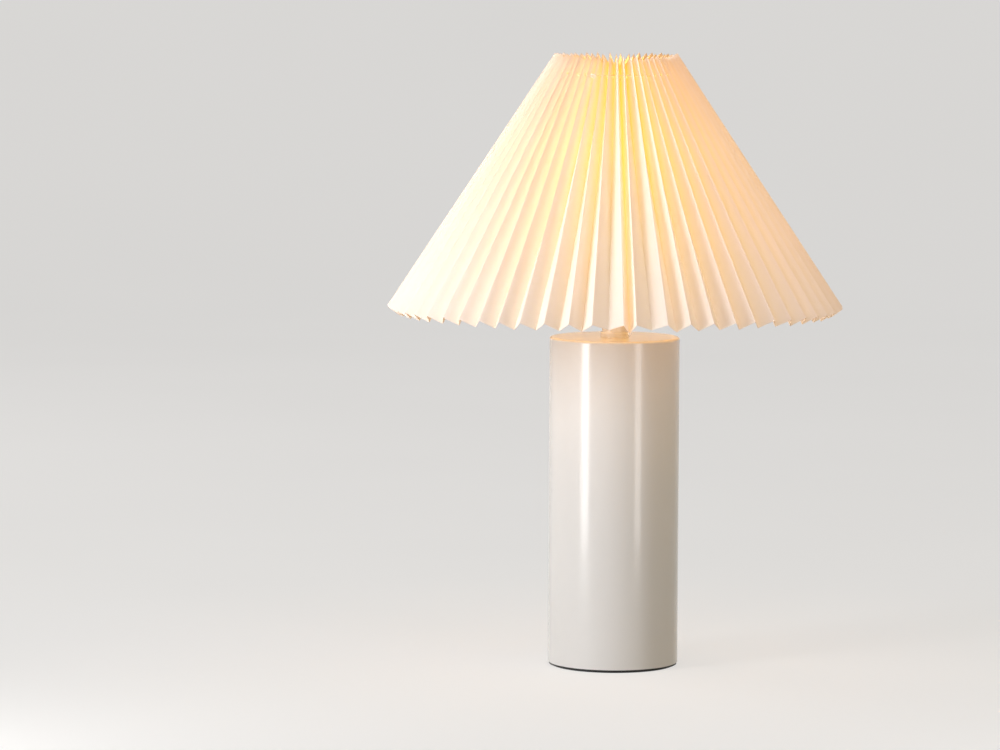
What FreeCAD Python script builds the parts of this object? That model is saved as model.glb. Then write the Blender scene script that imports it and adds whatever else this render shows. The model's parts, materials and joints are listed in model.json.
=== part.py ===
"""Table lamp with a pleated paper shade on a plain round base.

Millimetres, +Z up. The origin is the middle of the footprint on the table, and the lamp's front faces -Y.
A drum-shaped steel body stands on a black closing plate with a felt pad and carries a cast ballast ring. One
threaded tube runs up the axis: its nut under the plate draws the lampholder down on the neck, the neck on
the body and the body on the plate. The holder carries an LED bulb and, between its flange and a screw ring,
the wire carrier from which the pleated shade hangs. Two insulated leads run from a terminal block behind
the cord outlet, through a slot in the tube, up to the holder.
"""

import FreeCAD
import Part

import math
import os

from FreeCAD import Vector

# ---------------------------------------------------------------- driving dimensions
# Base
BODY_RADIUS = 55.0
BODY_HEIGHT = 276.4
BODY_WALL = 1.5
BODY_TOP_WALL = 2.0
BODY_EDGE_RADIUS = 2.0
FELT_THICKNESS = 1.0
FELT_INSET = 2.4  # the felt's edge behind the plate's edge
PLATE_THICKNESS = 1.6
PLATE_INSET = 0.7  # the plate's edge behind the body's outside
WELL_RADIUS = 13.0  # pressed recess in the plate that hides the nut
WELL_DEPTH = 7.0
BALLAST_THICKNESS = 12.0
BALLAST_WALL_GAP = 2.0
BALLAST_WELL_GAP = 1.0
BALLAST_SCREW_COUNT = 3
BALLAST_SCREW_CIRCLE = BODY_RADIUS - BODY_WALL - 17.5  # radius
BALLAST_SCREW_LENGTH = 10.0
SCREW_RADIUS = 2.0
SCREW_HEAD_RADIUS = 3.6
DRIVER_SLOT_WIDTH = 0.6
DRIVER_SLOT_DEPTH = 0.7

# Threaded tube and its nut
TUBE_RADIUS = 5.0
TUBE_BORE = 3.8
TUBE_END_BELOW_NUT = 0.6
WASHER_RADIUS = 10.5
WASHER_THICKNESS = 1.5
NUT_ACROSS_FLATS = 14.0
NUT_HEIGHT = 4.0
THREAD_CLEARANCE = 0.05
HOLE_CLEARANCE = 0.3
SLOT_WIDTH = 6.4  # where the leads enter the tube
SLOT_LENGTH = 20.0
SLOT_ABOVE_BALLAST = 9.0

# Cord outlet and terminal block
OUTLET_ABOVE_BALLAST = 9.6  # its centre
OUTLET_BORE = 3.1
GROMMET_RADIUS = 4.5
GROMMET_FLANGE_RADIUS = 7.0
GROMMET_CLIP_RADIUS = 6.0
GROMMET_FLANGE_THICKNESS = 2.0
GROMMET_EDGE_RADIUS = 0.9
GROMMET_WALL_GAP = 0.1
BLOCK_LENGTH = 20.0
BLOCK_DEPTH = 14.0
BLOCK_HEIGHT = 10.0
BLOCK_FROM_AXIS = BALLAST_SCREW_CIRCLE  # its centre, towards the back
BLOCK_EDGE_RADIUS = 1.0
POLE_SPACING = 12.0
POLE_BORE = 1.5
CLAMP_SCREW_RADIUS = 1.4
CLAMP_SCREW_LENGTH = 3.6
CLAMP_SCREW_SPACING = 7.0
BLOCK_SCREW_BITE = 6.0  # into the ballast
BLOCK_SCREW_HEAD_RADIUS = 2.4
BLOCK_SCREW_HEAD_HEIGHT = 2.0

# Leads
LEAD_RADIUS = 1.1
LEAD_SPACING = 2.8  # between the two leads inside the tube
LEAD_INSERTION = 5.0  # into the terminal block
LEAD_BLOCK_RUN = 7.0  # from the block to its first bend
LEAD_TURN_FROM_AXIS = 11.0  # its bend outside the tube's slot
LEAD_TURN_SPACING = 3.36  # between the two leads there
LEAD_SLOT_REACH = 8.0  # its bends below and above the slot's middle
LEAD_ABOVE_TUBE = 1.5  # where the leads part, above the tube's end
LEAD_BELOW_TERMINAL = 2.5  # where they straighten, below the holder's terminals
LEAD_BEND = 0.45  # share of the shorter run that an arc takes up

# Neck
COLLAR_RADIUS = 12.2
COLLAR_HEIGHT = 4.2
COLLAR_RECESS = 2.0
COLLAR_EDGE_RADIUS = 0.6
NECK_RADIUS = 10.65
NECK_WALL = 1.0
NECK_LENGTH = 66.0
NECK_CAP_THICKNESS = 2.0
NECK_CAP_SPIGOT = 3.0
NECK_CLEARANCE = 0.1

# Lampholder, E27 size
HOLDER_RADIUS = 19.75
HOLDER_WALL = 2.0
HOLDER_NECK_RADIUS = 12.0
HOLDER_NECK_HEIGHT = 5.0
HOLDER_DOME_HEIGHT = 11.0
HOLDER_CAP_HEIGHT = 23.0
HOLDER_FLOOR = 7.0
HOLDER_FLOOR_ROUND = 7.5
HOLDER_BULGE = (0.72, 0.4)  # a point of its dome, as shares of the flare and of the height
BUSH_RADIUS = 7.5
BUSH_HEIGHT = 6.4
LOCK_SCREW_RADIUS = 1.5
LOCK_SCREW_ABOVE_FOOT = 3.0
LOCK_SCREW_INSET = 0.2
SKIRT_HEIGHT = 33.0
SKIRT_TOP_WALL = 2.0
SOCKET_RADIUS = 13.6
SOCKET_WALL = 1.6
SOCKET_DEPTH = 24.0
THREAD_DEPTH = 0.5
GROOVE_FLANK = 0.35  # half a groove's width at the surface, as a share of the pitch
SOCKET_PITCH = 3.63
RING_PITCH = 2.5
SHADE_FLANGE_RADIUS = 25.0
SHADE_FLANGE_THICKNESS = 2.0
SHADE_SEAT_BELOW_RIM = 23.0
INSULATOR_THICKNESS = 9.0
INSULATOR_GAP = 0.3
TERMINAL_FROM_AXIS = 7.0
TERMINAL_HOLE = 1.3
TERMINAL_SCREW_HEIGHT = 4.6  # above the insulator's underside
TERMINAL_SCREW_INSET = 0.4
LEAD_IN_TERMINAL = 3.0
CONTACT_THICKNESS = 0.5
CONTACT_WIDTH = 6.0
CONTACT_RISE = 2.4
CONTACT_REACH = (-10.0, -5.0, 0.0, 2.5)  # its foot's ends, the top of its slope and its tip
CONTACT_LEAN = 0.2  # the slope's upper face behind its lower one
SIDE_CONTACT_GAP = 0.11
SIDE_CONTACT_ABOVE_CAP = 7.0  # its end above the cap's lower rim

# Screw ring that clamps the shade carrier
RING_BORE = 20.05
RING_OUTER = 24.0
RING_FLANGE = 26.0
RING_HEIGHT = 6.0
RING_FLANGE_HEIGHT = 1.6
RING_GRIPS = 24
GRIP_RADIUS = 0.8

# Bulb, 60 mm LED with an E27 cap
BULB_RADIUS = 30.0
CAP_RADIUS = 13.05
CAP_ROOT_RADIUS = 12.25  # between the threads
CAP_HEIGHT = 22.0
CAP_WALL = 0.5
CAP_THREAD_FLANK = 0.36  # half a thread's width at its root, as a share of the pitch
CAP_THREAD_ROOT = 0.1  # how far a thread's section reaches into the wall
CAP_OVER_COLLAR = 2.0  # the cap's rim over the housing's collar
EYELET_RADIUS = 4.8
EYELET_HEIGHT = 1.5
EYELET_FLAT_RADIUS = 2.16
EYELET_SHOULDER = (0.87, 0.4)  # a point of its round, as shares of its radius and height
CAP_INSULATOR_HEIGHT = 3.6
CAP_INSULATOR_RADIUS = 9.5
CAP_INSULATOR_RIM = 1.0
HOUSING_HEIGHT = 33.0
HOUSING_FOOT_RADIUS = CAP_RADIUS + 0.5
HOUSING_TOP_RADIUS = 27.0
HOUSING_WALL = 1.5
HOUSING_WAIST = (0.36, 0.45)  # a point of its flank, as shares of the flare and of the height
HOUSING_RIM = 2.0  # the wall at the top, round the board
HOUSING_LEDGE = 2.0  # the step under the board
DIFFUSER_WALL = 1.2
DIFFUSER_WIDEST = 22.0  # above the housing
DIFFUSER_SWELL = (0.7, 0.45)  # a point of its flank, as shares of the flare and of that height
LED_BOARD_CLEARANCE = 0.3  # inside the housing's rim
LED_BOARD_THICKNESS = 1.6
LED_COUNT = 12
LED_CIRCLE = 15.0
LED_SIZE = 3.0
LED_HEIGHT = 0.8

# Shade carrier
WIRE_RADIUS = 1.25
CARRIER_BORE = 20.6
CARRIER_RADIUS = 30.5
CARRIER_THICKNESS = 1.2
CARRIER_GAP = 0.15  # to the flange below and to the screw ring above
ARM_COUNT = 3
ARM_UPRIGHT = 8.0
ARM_INSET = 0.2  # the arms' feet from the fitter's edge
RING_BELOW_SHADE_TOP = 19.5
RING_BITE = 0.5  # how far the ring's wire centre lies outside the inner folds

# Pleated shade
PLEAT_COUNT = 60
PANEL_WIDTH = 15.0
PAPER_THICKNESS = 0.4
RIDGE_TOP_RADIUS = 52.0
RIDGE_BOTTOM_RADIUS = 192.5
SHADE_SLANT = 254.0
SHADE_RIM_ABOVE_BODY = 26.0  # the outer folds' lower ends above the body's top
PLEAT_PHASE = 0.75  # degrees, from the front towards +X
SEAM_PINCH = 1.45  # degrees; the seam's pleat is pressed together at the rim
NOTCH_CLEARANCE = 0.25
STRING_RADIUS = 0.5
STRING_HOLE = 1.2
STRING_BEHIND_RIDGES = 4.0
STRING_ABOVE_RING = 4.0
KNOT_RADIUS = 1.9
KNOT_PLEATS_LEFT = 3  # whole pleats between the front and the knot

# ---------------------------------------------------------------- levels, worked out
Z_PLATE = FELT_THICKNESS
Z_BODY = Z_PLATE + PLATE_THICKNESS
Z_BODY_TOP = Z_BODY + BODY_HEIGHT
Z_WELL = Z_PLATE + WELL_DEPTH
Z_BALLAST_TOP = Z_BODY + BALLAST_THICKNESS
Z_OUTLET = Z_BALLAST_TOP + OUTLET_ABOVE_BALLAST
Z_NECK = Z_BODY_TOP + COLLAR_HEIGHT - COLLAR_RECESS
Z_NECK_TOP = Z_NECK + NECK_LENGTH
Z_HOLDER = Z_NECK_TOP + NECK_CAP_THICKNESS
Z_SKIRT = Z_HOLDER + HOLDER_CAP_HEIGHT
Z_SKIRT_TOP = Z_SKIRT + SKIRT_HEIGHT
Z_SEAT = Z_SKIRT_TOP - SHADE_SEAT_BELOW_RIM
Z_SOCKET = Z_SKIRT_TOP - SOCKET_DEPTH
Z_INSULATOR_TOP = Z_SOCKET - INSULATOR_GAP * 2
Z_INSULATOR = Z_INSULATOR_TOP - INSULATOR_THICKNESS
Z_BULB = Z_INSULATOR_TOP + CONTACT_RISE + CONTACT_THICKNESS + INSULATOR_GAP
Z_CARRIER = Z_SEAT + CARRIER_GAP
Z_CARRIER_TOP = Z_CARRIER + CARRIER_THICKNESS
Z_RING = Z_CARRIER_TOP + CARRIER_GAP
Z_TUBE = Z_WELL - WASHER_THICKNESS - NUT_HEIGHT - TUBE_END_BELOW_NUT
Z_TUBE_TOP = Z_HOLDER + HOLDER_FLOOR
Z_RIM = Z_BODY_TOP + SHADE_RIM_ABOVE_BODY
SHADE_RISE = math.sqrt(SHADE_SLANT**2 - (RIDGE_BOTTOM_RADIUS - RIDGE_TOP_RADIUS) ** 2)
Z_SHADE_TOP = Z_RIM + SHADE_RISE
Z_CARRIER_RING = Z_SHADE_TOP - RING_BELOW_SHADE_TOP
Z_STRING = Z_CARRIER_RING + STRING_ABOVE_RING

AXIS = Vector(0, 0, 1)
ORIGIN = Vector(0, 0, 0)


# ---------------------------------------------------------------- small helpers
def disc(radius, low, high, x=0.0, y=0.0):
    """An upright cylinder between two levels."""
    return Part.makeCylinder(radius, high - low, Vector(x, y, low))


def tube(bore, radius, low, high):
    """An upright ring or pipe between two levels."""
    return disc(radius, low, high).cut(disc(bore, low - 1, high + 1))


def bar(radius, start, end):
    """A round bar from one point to another."""
    along = end.sub(start)
    return Part.makeCylinder(radius, along.Length, start, along)


def line(a, b):
    return Part.LineSegment(a, b).toShape()


def arc(a, middle, b):
    return Part.Arc(a, middle, b).toShape()


def turned(edges):
    """The solid that a closed outline in the XZ plane sweeps round the axis."""
    return Part.Face(Part.Wire(edges)).revolve(ORIGIN, AXIS, 360)


def turned_polygon(points):
    """The same for an outline of straight lines, given as (radius, height)."""
    corners = [Vector(r, 0, z) for r, z in points]
    return Part.Face(Part.makePolygon(corners + corners[:1])).revolve(ORIGIN, AXIS, 360)


def at_radius(radius, degrees, z):
    """A point at a compass angle counted from the front towards +X."""
    a = math.radians(degrees)
    return Vector(radius * math.sin(a), -radius * math.cos(a), z)


def around(solid, count, start=0.0):
    """Copies of a solid at equal steps round the axis."""
    copies = []
    for k in range(count):
        copy = solid.copy()
        copy.rotate(ORIGIN, AXIS, start + k * 360.0 / count)
        copies.append(copy)
    return copies


def grooves(surface, root, low, high, pitch):
    """Closed V grooves from a surface's radius to their root's, one per turn, that stand for a thread."""
    cuts = []
    for k in range(max(1, int((high - low) / pitch))):
        z = low + (k + 0.5) * pitch
        flank = pitch * GROOVE_FLANK
        cuts.append(turned_polygon([(surface, z - flank), (root, z), (surface, z + flank)]))
    return cuts


def save(node, *solids):
    """Writes one node. Several solids in it stay separate."""
    shape = solids[0] if len(solids) == 1 else Part.makeCompound(list(solids))
    if not shape.isValid():
        raise ValueError(node + " is not a valid shape")
    shape.exportStep(os.path.join("parts", node + ".step"))


# ---------------------------------------------------------------- base
def base_body():
    """The drum: a closed top with a rounded edge, open below, with holes for the tube and the cord outlet."""
    outer = disc(BODY_RADIUS, Z_BODY, Z_BODY_TOP)
    top_edges = [e for e in outer.Edges if e.Closed and e.BoundBox.ZMin > Z_BODY_TOP - 0.1]
    outer = outer.makeFillet(BODY_EDGE_RADIUS, top_edges)
    hollow = disc(BODY_RADIUS - BODY_WALL, Z_BODY - 1, Z_BODY_TOP - BODY_TOP_WALL)
    tube_hole = disc(TUBE_RADIUS + HOLE_CLEARANCE, Z_BODY_TOP - BODY_TOP_WALL - 1, Z_BODY_TOP + 1)
    outlet_hole = bar(
        GROMMET_RADIUS + GROMMET_WALL_GAP,
        Vector(0, BODY_RADIUS - 2 * BODY_WALL, Z_OUTLET),
        Vector(0, BODY_RADIUS + BODY_WALL, Z_OUTLET),
    )
    return outer.cut(hollow).cut(tube_hole).cut(outlet_hole)


def ballast_screw_places():
    step = 360.0 / BALLAST_SCREW_COUNT
    return [at_radius(BALLAST_SCREW_CIRCLE, k * step, 0) for k in range(BALLAST_SCREW_COUNT)]


def countersunk_screw(place, clearance=0.0):
    """A flat-headed screw with its head flush with the plate's underside."""
    top = Z_BODY + BALLAST_SCREW_LENGTH + clearance
    shank = disc(SCREW_RADIUS + clearance, Z_PLATE, top, place.x, place.y)
    head = Part.makeCone(
        SCREW_HEAD_RADIUS + clearance,
        SCREW_RADIUS + clearance,
        PLATE_THICKNESS,
        Vector(place.x, place.y, Z_PLATE),
    )
    return shank.fuse(head).removeSplitter()


def base_plate():
    """The black closing plate with its pressed well."""
    edge = BODY_RADIUS - PLATE_INSET
    bore = TUBE_RADIUS + HOLE_CLEARANCE
    plate = turned_polygon(
        [
            (WELL_RADIUS, Z_PLATE),
            (edge, Z_PLATE),
            (edge, Z_BODY),
            (WELL_RADIUS + PLATE_THICKNESS, Z_BODY),
            (WELL_RADIUS + PLATE_THICKNESS, Z_WELL + PLATE_THICKNESS),
            (bore, Z_WELL + PLATE_THICKNESS),
            (bore, Z_WELL),
            (WELL_RADIUS, Z_WELL),
        ]
    )
    for place in ballast_screw_places():
        plate = plate.cut(countersunk_screw(place, THREAD_CLEARANCE))
    return plate


def ballast_ring():
    ring = tube(
        WELL_RADIUS + PLATE_THICKNESS + BALLAST_WELL_GAP,
        BODY_RADIUS - BODY_WALL - BALLAST_WALL_GAP,
        Z_BODY,
        Z_BALLAST_TOP,
    )
    for place in ballast_screw_places():
        ring = ring.cut(countersunk_screw(place, THREAD_CLEARANCE))
    return ring.cut(block_fixing_screw(THREAD_CLEARANCE))


def felt_pad():
    return disc(BODY_RADIUS - PLATE_INSET - FELT_INSET, 0, FELT_THICKNESS)


def threaded_tube():
    """The tube on the axis, with a slot at the back where the leads go in."""
    pipe = tube(TUBE_BORE, TUBE_RADIUS, Z_TUBE, Z_TUBE_TOP)
    slot_low = Z_BALLAST_TOP + SLOT_ABOVE_BALLAST
    slot = Part.makeBox(SLOT_WIDTH, TUBE_RADIUS + 1, SLOT_LENGTH, Vector(-SLOT_WIDTH / 2, 0, slot_low))
    return pipe.cut(slot)


def tube_washer():
    return tube(TUBE_RADIUS + HOLE_CLEARANCE, WASHER_RADIUS, Z_WELL - WASHER_THICKNESS, Z_WELL)


def tube_nut():
    """A hexagon nut with its corners turned off."""
    low = Z_WELL - WASHER_THICKNESS - NUT_HEIGHT
    flat = NUT_ACROSS_FLATS / 2
    corner = flat / math.cos(math.pi / 6)
    points = [at_radius(corner, 60 * k, low) for k in range(6)]
    prism = Part.Face(Part.makePolygon(points + points[:1])).extrude(Vector(0, 0, NUT_HEIGHT))
    rounding = Part.makeCone(flat, flat + NUT_HEIGHT, NUT_HEIGHT, Vector(0, 0, low))
    return prism.common(rounding).cut(disc(TUBE_RADIUS + THREAD_CLEARANCE, low - 1, low + NUT_HEIGHT + 1))


# ---------------------------------------------------------------- cord outlet and wiring
def cord_grommet():
    """A clip-in bush in the body's back wall."""
    outside = BODY_RADIUS + GROMMET_FLANGE_THICKNESS
    inner_face = math.sqrt((BODY_RADIUS - BODY_WALL) ** 2 - GROMMET_CLIP_RADIUS**2) - GROMMET_WALL_GAP
    inside = inner_face - GROMMET_FLANGE_THICKNESS
    flange = bar(GROMMET_FLANGE_RADIUS, Vector(0, BODY_RADIUS, Z_OUTLET), Vector(0, outside, Z_OUTLET))
    rim = [e for e in flange.Edges if e.Closed and e.BoundBox.YMin > outside - 0.1]
    flange = flange.makeFillet(GROMMET_EDGE_RADIUS, rim)
    barrel = bar(GROMMET_RADIUS, Vector(0, inside, Z_OUTLET), Vector(0, outside, Z_OUTLET))
    clip = bar(GROMMET_CLIP_RADIUS, Vector(0, inside, Z_OUTLET), Vector(0, inner_face, Z_OUTLET))
    bore = bar(OUTLET_BORE, Vector(0, inside - 1, Z_OUTLET), Vector(0, outside + 1, Z_OUTLET))
    return flange.fuse(barrel).fuse(clip).removeSplitter().cut(bore)


def pole_sides():
    return (-POLE_SPACING / 2, POLE_SPACING / 2)


def clamp_screw_places():
    """Two clamping screws on each pole of the terminal block."""
    steps = (-CLAMP_SCREW_SPACING / 2, CLAMP_SCREW_SPACING / 2)
    return [(x, BLOCK_FROM_AXIS + step) for x in pole_sides() for step in steps]


def terminal_block():
    low = Vector(-BLOCK_LENGTH / 2, BLOCK_FROM_AXIS - BLOCK_DEPTH / 2, Z_BALLAST_TOP)
    block = Part.makeBox(BLOCK_LENGTH, BLOCK_DEPTH, BLOCK_HEIGHT, low)
    upright = [e for e in block.Edges if e.BoundBox.ZLength > BLOCK_HEIGHT / 2]
    block = block.makeFillet(BLOCK_EDGE_RADIUS, upright)
    for x in pole_sides():
        start = Vector(x, BLOCK_FROM_AXIS - BLOCK_DEPTH, Z_LEAD_START)
        block = block.cut(bar(POLE_BORE, start, start.add(Vector(0, BLOCK_DEPTH * 2, 0))))
    top = Z_BALLAST_TOP + BLOCK_HEIGHT
    for x, y in clamp_screw_places():
        block = block.cut(disc(CLAMP_SCREW_RADIUS + THREAD_CLEARANCE, Z_LEAD_START, top + 1, x, y))
    return block.cut(block_fixing_screw(THREAD_CLEARANCE))


def terminal_block_screws():
    low = Z_BALLAST_TOP + BLOCK_HEIGHT - CLAMP_SCREW_LENGTH
    screws = []
    for x, y in clamp_screw_places():
        screw = disc(CLAMP_SCREW_RADIUS, low, Z_BALLAST_TOP + BLOCK_HEIGHT, x, y)
        screws.append(screw.cut(driver_slot(x, y, Z_BALLAST_TOP + BLOCK_HEIGHT)))
    return screws


def driver_slot(x, y, top):
    """The slot across a screw head."""
    reach = 2 * SCREW_HEAD_RADIUS
    corner = Vector(x - reach / 2, y - DRIVER_SLOT_WIDTH / 2, top - DRIVER_SLOT_DEPTH)
    return Part.makeBox(reach, DRIVER_SLOT_WIDTH, DRIVER_SLOT_DEPTH + 1, corner)


def block_fixing_screw(clearance=0.0):
    """The screw between the poles that holds the block on the ballast."""
    y = BLOCK_FROM_AXIS
    tip = Z_BALLAST_TOP - BLOCK_SCREW_BITE - clearance
    head_top = Z_BALLAST_TOP + BLOCK_HEIGHT
    shank = disc(CLAMP_SCREW_RADIUS + clearance, tip, head_top, 0, y)
    head_low = head_top - BLOCK_SCREW_HEAD_HEIGHT - clearance
    head = disc(BLOCK_SCREW_HEAD_RADIUS + clearance, head_low, head_top, 0, y)
    return shank.fuse(head).removeSplitter()


Z_LEAD_START = Z_BALLAST_TOP + BLOCK_HEIGHT / 2


def lead_route(side):
    """Corner points of one lead, from the block's pole to the holder's terminal. side is -1 or 1."""
    x = side * LEAD_SPACING / 2
    pole = side * POLE_SPACING / 2
    front = BLOCK_FROM_AXIS - BLOCK_DEPTH / 2
    slot_middle = Z_BALLAST_TOP + SLOT_ABOVE_BALLAST + SLOT_LENGTH / 2
    return [
        Vector(pole, front + LEAD_INSERTION, Z_LEAD_START),
        Vector(pole, front - LEAD_BLOCK_RUN, Z_LEAD_START),
        Vector(side * LEAD_TURN_SPACING / 2, LEAD_TURN_FROM_AXIS, slot_middle - LEAD_SLOT_REACH),
        Vector(x, 0, slot_middle + LEAD_SLOT_REACH),
        Vector(x, 0, Z_TUBE_TOP + LEAD_ABOVE_TUBE),
        Vector(side * TERMINAL_FROM_AXIS, 0, Z_INSULATOR - LEAD_BELOW_TERMINAL),
        Vector(side * TERMINAL_FROM_AXIS, 0, Z_INSULATOR + LEAD_IN_TERMINAL),
    ]


def bent_wire(points, radius, name):
    """A round wire along straight runs joined by tangent arcs. Prints the arcs' radii."""
    edges = []
    start = points[0]
    radii = []
    for before, corner, after in zip(points, points[1:], points[2:]):
        into = corner.sub(before)
        out = after.sub(corner)
        turn = into.getAngle(out)
        setback = LEAD_BEND * min(into.Length, out.Length)
        radii.append(round(setback / math.tan(turn / 2), 1))
        begin = corner.sub(into.normalize().multiply(setback))
        end = corner.add(out.normalize().multiply(setback))
        half_way = begin.add(end).multiply(0.5)
        to_corner = corner.sub(half_way)
        bulge = radii[-1] * (1 - math.cos(turn / 2)) / to_corner.Length
        edges.append(line(start, begin))
        edges.append(arc(begin, half_way.add(to_corner.multiply(bulge)), end))
        start = end
    edges.append(line(start, points[-1]))
    path = Part.Wire(edges)
    first = points[1].sub(points[0])
    section = Part.Wire(Part.makeCircle(radius, points[0], first))
    wire = path.makePipeShell([section], True, False)
    expected = math.pi * radius**2 * path.Length
    share = wire.Volume / expected
    print(f"{name}: arc radii {radii} mm, length {path.Length:.1f} mm, volume share {share:.4f}")
    return wire


# ---------------------------------------------------------------- neck
def neck_collar():
    """The ring at the foot of the neck, recessed for the tube's end."""
    top = Z_BODY_TOP + COLLAR_HEIGHT
    ring = disc(COLLAR_RADIUS, Z_BODY_TOP, top)
    rim = [e for e in ring.Edges if e.Closed and e.BoundBox.ZMin > top - 0.1]
    ring = ring.makeFillet(COLLAR_EDGE_RADIUS, rim)
    ring = ring.cut(disc(TUBE_RADIUS + HOLE_CLEARANCE, Z_BODY_TOP - 1, top + 1))
    return ring.cut(disc(NECK_RADIUS + NECK_CLEARANCE, Z_NECK, top + 1))


def neck_tube():
    return tube(NECK_RADIUS - NECK_WALL, NECK_RADIUS, Z_NECK, Z_NECK_TOP)


def neck_cap():
    """The stepped disc that centres the neck under the holder."""
    rim = disc(NECK_RADIUS, Z_NECK_TOP, Z_HOLDER)
    spigot = disc(NECK_RADIUS - NECK_WALL - NECK_CLEARANCE, Z_NECK_TOP - NECK_CAP_SPIGOT, Z_HOLDER)
    hole = disc(TUBE_RADIUS + HOLE_CLEARANCE, Z_NECK_TOP - NECK_CAP_SPIGOT - 1, Z_HOLDER + 1)
    return rim.fuse(spigot).removeSplitter().cut(hole)


# ---------------------------------------------------------------- lampholder
def holder_cap():
    """The lower shell: a short neck that swells into the holder's full width."""
    neck_top = Z_HOLDER + HOLDER_NECK_HEIGHT
    dome_top = neck_top + HOLDER_DOME_HEIGHT
    inside = HOLDER_RADIUS - HOLDER_WALL
    floor = Z_HOLDER + HOLDER_FLOOR
    flare = HOLDER_RADIUS - HOLDER_NECK_RADIUS
    across, up = HOLDER_BULGE
    bulge = Vector(HOLDER_NECK_RADIUS + flare * across, 0, neck_top + HOLDER_DOME_HEIGHT * up)
    corner = HOLDER_FLOOR_ROUND * (1 - math.cos(math.pi / 4))
    hollow_bulge = Vector(inside - corner, 0, floor + corner)
    points = {
        "axis": Vector(0, 0, Z_HOLDER),
        "foot": Vector(HOLDER_NECK_RADIUS, 0, Z_HOLDER),
        "neck": Vector(HOLDER_NECK_RADIUS, 0, neck_top),
        "dome": Vector(HOLDER_RADIUS, 0, dome_top),
        "rim": Vector(HOLDER_RADIUS, 0, Z_SKIRT),
        "rim_in": Vector(inside, 0, Z_SKIRT),
        "wall_in": Vector(inside, 0, floor + HOLDER_FLOOR_ROUND),
        "floor_in": Vector(inside - HOLDER_FLOOR_ROUND, 0, floor),
        "floor": Vector(0, 0, floor),
    }
    shell = turned(
        [
            line(points["axis"], points["foot"]),
            line(points["foot"], points["neck"]),
            arc(points["neck"], bulge, points["dome"]),
            line(points["dome"], points["rim"]),
            line(points["rim"], points["rim_in"]),
            line(points["rim_in"], points["wall_in"]),
            arc(points["wall_in"], hollow_bulge, points["floor_in"]),
            line(points["floor_in"], points["floor"]),
            line(points["floor"], points["axis"]),
        ]
    )
    shell = shell.cut(disc(TUBE_RADIUS + HOLE_CLEARANCE, Z_HOLDER - 1, floor + 1))
    shell = shell.cut(disc(BUSH_RADIUS, floor - BUSH_HEIGHT, floor + 1))
    return shell.cut(lock_screw(THREAD_CLEARANCE, -1))


def holder_bush():
    """The threaded metal insert that the tube screws into."""
    floor = Z_HOLDER + HOLDER_FLOOR
    return tube(TUBE_RADIUS + THREAD_CLEARANCE, BUSH_RADIUS, floor - BUSH_HEIGHT, floor)


def lock_screw(clearance=0.0, inset=LOCK_SCREW_INSET):
    """The grub screw that locks the cap on the bush, or with a negative inset, the cutter for its hole."""
    z = Z_HOLDER + LOCK_SCREW_ABOVE_FOOT
    start = Vector(0, BUSH_RADIUS, z)
    end = Vector(0, HOLDER_NECK_RADIUS - inset, z)
    return bar(LOCK_SCREW_RADIUS + clearance, start, end)


def holder_skirt():
    """The upper shell: outer wall, flange for the shade carrier, and the screw socket inside."""
    inside = HOLDER_RADIUS - HOLDER_WALL
    flange_low = Z_SEAT - SHADE_FLANGE_THICKNESS
    skirt = turned_polygon(
        [
            (inside, Z_SKIRT),
            (HOLDER_RADIUS, Z_SKIRT),
            (HOLDER_RADIUS, flange_low),
            (SHADE_FLANGE_RADIUS, flange_low),
            (SHADE_FLANGE_RADIUS, Z_SEAT),
            (HOLDER_RADIUS, Z_SEAT),
            (HOLDER_RADIUS, Z_SKIRT_TOP),
            (SOCKET_RADIUS, Z_SKIRT_TOP),
            (SOCKET_RADIUS, Z_SOCKET),
            (SOCKET_RADIUS + SOCKET_WALL, Z_SOCKET),
            (SOCKET_RADIUS + SOCKET_WALL, Z_SKIRT_TOP - SKIRT_TOP_WALL),
            (inside, Z_SKIRT_TOP - SKIRT_TOP_WALL),
        ]
    )
    top = Z_SKIRT_TOP - 1
    outside_thread = grooves(HOLDER_RADIUS + 0.01, HOLDER_RADIUS - THREAD_DEPTH, Z_RING, top, RING_PITCH)
    low = Z_SOCKET + 1
    inside_thread = grooves(SOCKET_RADIUS - 0.01, SOCKET_RADIUS + THREAD_DEPTH, low, top, SOCKET_PITCH)
    for groove in outside_thread + inside_thread:
        skirt = skirt.cut(groove)
    return skirt


def terminal_screw(side, clearance=0.0):
    """A screw from the insulator's side that clamps a lead in its hole. side is -1 or 1."""
    z = Z_INSULATOR + TERMINAL_SCREW_HEIGHT
    outside = HOLDER_RADIUS - HOLDER_WALL - INSULATOR_GAP - TERMINAL_SCREW_INSET
    head_inside = outside - BLOCK_SCREW_HEAD_HEIGHT - clearance
    head = bar(
        BLOCK_SCREW_HEAD_RADIUS + clearance,
        Vector(side * head_inside, 0, z),
        Vector(side * (outside + clearance), 0, z),
    )
    tip = Vector(side * (TERMINAL_FROM_AXIS + TERMINAL_HOLE), 0, z)
    shank = bar(CLAMP_SCREW_RADIUS + clearance, tip, Vector(side * outside, 0, z))
    return head.fuse(shank).removeSplitter()


def holder_insulator():
    """The inner block with the lead holes below and the contacts on top."""
    radius = HOLDER_RADIUS - HOLDER_WALL - INSULATOR_GAP
    block = disc(radius, Z_INSULATOR, Z_INSULATOR_TOP)
    for side in (-1, 1):
        end = Z_INSULATOR + LEAD_IN_TERMINAL + INSULATOR_GAP
        hole = disc(TERMINAL_HOLE, Z_INSULATOR - 1, end, side * TERMINAL_FROM_AXIS, 0)
        block = block.cut(hole).cut(terminal_screw(side, THREAD_CLEARANCE))
    return block


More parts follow.
